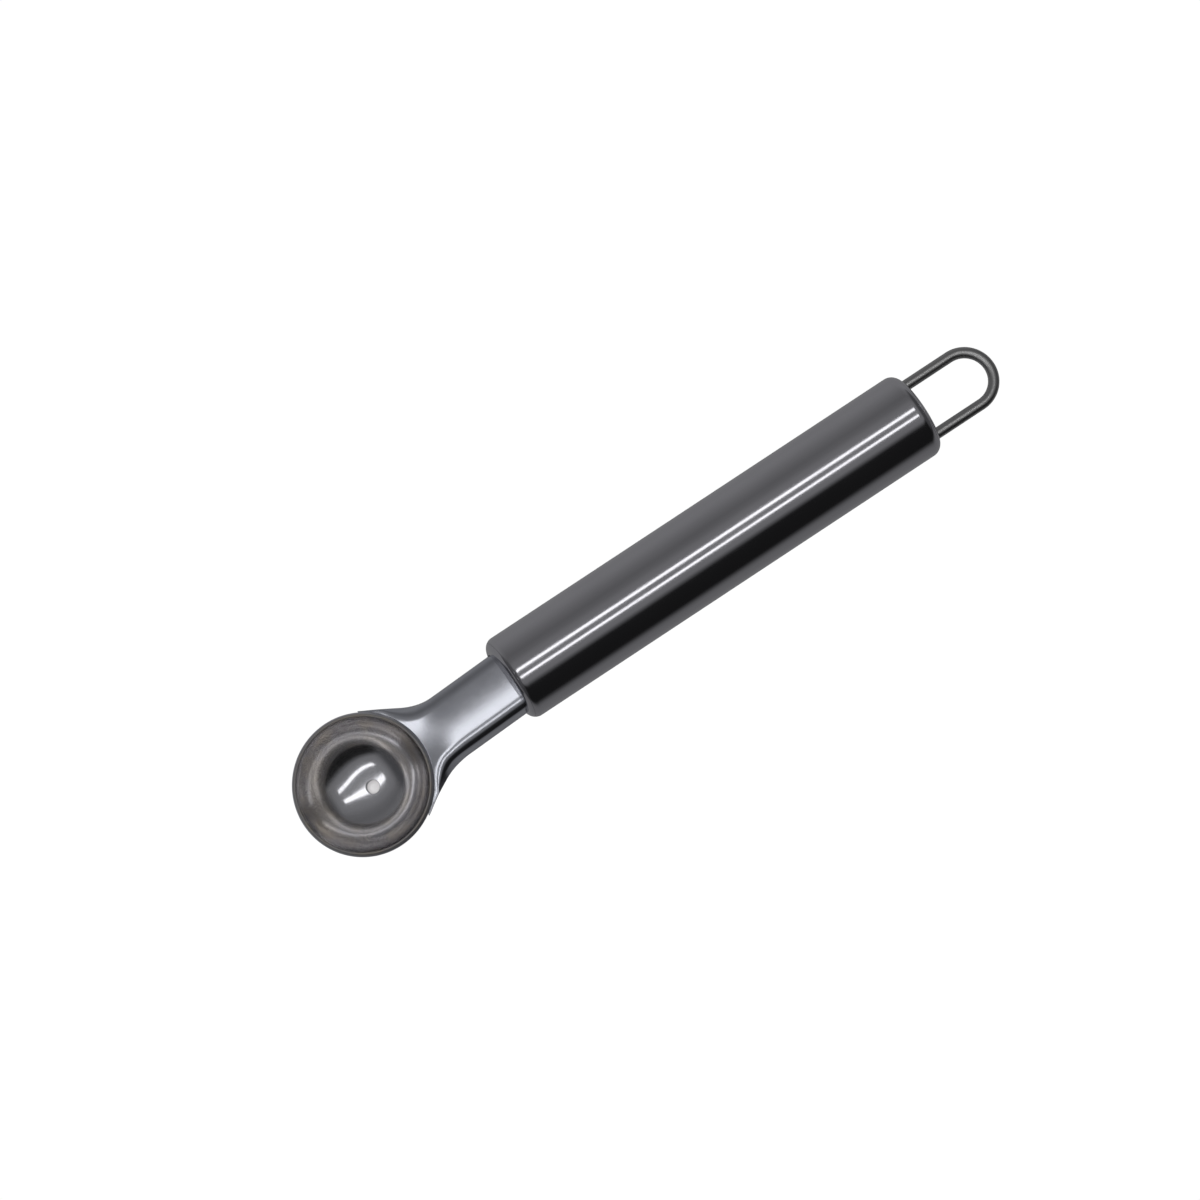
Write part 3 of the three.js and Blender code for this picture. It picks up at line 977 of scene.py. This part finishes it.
bowl()
neck()
handle_tube()
front_cap()
rear_cap()
hanging_loop()
bowl_weld("bowl_weld_left", 1)
bowl_weld("bowl_weld_right", -1)
tang_weld("tang_weld_upper", 1)
tang_weld("tang_weld_lower", -1)
loop_weld("loop_weld_left", 1)
loop_weld("loop_weld_right", -1)


# Stage, in metres: white table, two long strip lights over the tool and the grey room round it

STRIP_DISTANCE = 0.9
STRIP_ANGLES = (-2.65, 16.4)
STRIP_WIDTH = 0.102
STRIP_LENGTH = 1.1
STRIP_MIDDLE = -0.12
STRIP_RADIANCE = 1.7
TABLE_HALF = 6.0
CONTACT_SHADE = 0.002
SHADE_RANGE = (0.25, 0.95)
SHADE_SAMPLES = 8
SHADE_TINT = (0.36, 0.34, 0.35, 1)
WHITE = (1, 1, 1, 1)
PAPER_GLOW = 1.02


def white_table():
    """Even white paper that glows, with painted contact shade where something all but touches it;
    clear from below.
    """
    corners = points_of(
        (-TABLE_HALF, -TABLE_HALF), (TABLE_HALF, -TABLE_HALF),
        (TABLE_HALF, TABLE_HALF), (-TABLE_HALF, TABLE_HALF),
    )
    mesh = bpy.data.meshes.new("table")
    mesh.from_pydata(corners, [], [(0, 1, 2, 3)])
    material = bpy.data.materials.new("white_paper")
    nodes = Nodes(material)
    settings = {"samples": SHADE_SAMPLES}
    # Painted shade: ambient occlusion darkens the paper's glow near the tool, in place of its
    # contact shadow.
    openness = nodes.add("ShaderNodeAmbientOcclusion", settings, {"Distance": CONTACT_SHADE}, "AO")
    paper = nodes.mix(openness.step(*SHADE_RANGE), SHADE_TINT, WHITE)
    glow = nodes.add("ShaderNodeEmission", {}, {"Color": paper, "Strength": PAPER_GLOW})
    below = nodes.add("ShaderNodeNewGeometry", {}, {}, "Backfacing")
    clear = nodes.add("ShaderNodeBsdfTransparent", {}, {})
    one_sided = nodes.add("ShaderNodeMixShader", {}, {0: below, 1: glow, 2: clear})
    nodes.add("ShaderNodeOutputMaterial", {}, {"Surface": one_sided})
    mesh.materials.append(material)
    table = new_object("table", mesh)
    table.visible_glossy = False


def strip_light(angle):
    """Long soft light along X, leaning sideways by an angle, towards -Y when positive."""
    lean = math.radians(angle)
    data = bpy.data.lights.new("strip", "AREA")
    data.shape = "RECTANGLE"
    data.size = STRIP_LENGTH
    data.size_y = STRIP_WIDTH
    data.energy = STRIP_RADIANCE * math.pi * STRIP_LENGTH * STRIP_WIDTH
    light = bpy.data.objects.new("strip", data)
    sideways, height = -STRIP_DISTANCE * math.sin(lean), STRIP_DISTANCE * math.cos(lean)
    light.location = (STRIP_MIDDLE, sideways, height)
    light.rotation_euler = (-lean, 0, 0)
    light.visible_camera = False
    bpy.context.collection.objects.link(light)


# Brightness of the room by the angle round the handle, from straight down through the left side,
# overhead and the dark right side to straight down again
ROOM = [
    (-180, 0.20), (-150, 0.225), (-100, 0.235), (-87, 0.222), (-61, 0.165), (-46, 0.135),
    (-32.5, 0.155), (-21.5, 0.20), (6.5, 0.21), (24.5, 0.20), (35.5, 0.195), (40.5, 0.11),
    (47.5, 0.012), (97.5, 0.010), (104.5, 0.055), (111.5, 0.12), (121.5, 0.16), (180, 0.20),
]
ROOM_BLUE = 1.02
END_ANGLES = (42, 60)
END_FLOOR = (-0.12, 0)
END_TINT = (0.07, 0.07, 0.073, 1)


def room():
    """Grey room for the steel to reflect: paler overhead, dark at the ends and on one side."""
    world = bpy.data.worlds.new("room")
    bpy.context.scene.world = world
    nodes = Nodes(world)
    ray = nodes.add("ShaderNodeTexCoord", {}, {}, "Generated")
    x, y, z = (ray.axis(name) for name in "XYZ")
    turn = z.maths("ARCTAN2", y * -1, z) / (2 * math.pi) + 0.5
    stops = [(angle / 360 + 0.5, (grey, grey, grey * ROOM_BLUE, 1)) for angle, grey in ROOM]
    level = nodes.ramp(turn, stops)
    near, far = (math.sin(math.radians(angle)) for angle in END_ANGLES)
    ends = x.maths("ABSOLUTE", x).step(near, far) * z.step(*END_FLOOR)
    walls = nodes.mix(ends, level, END_TINT)
    seen = nodes.add("ShaderNodeLightPath", {}, {}, "Is Camera Ray")
    colour = nodes.mix(seen, walls, WHITE)
    sky = nodes.add("ShaderNodeBackground", {}, {"Color": colour})
    nodes.add("ShaderNodeOutputWorld", {}, {"Surface": sky})


white_table()
for angle in STRIP_ANGLES:
    strip_light(angle)
room()
bpy.context.scene.view_settings.view_transform = "Standard"
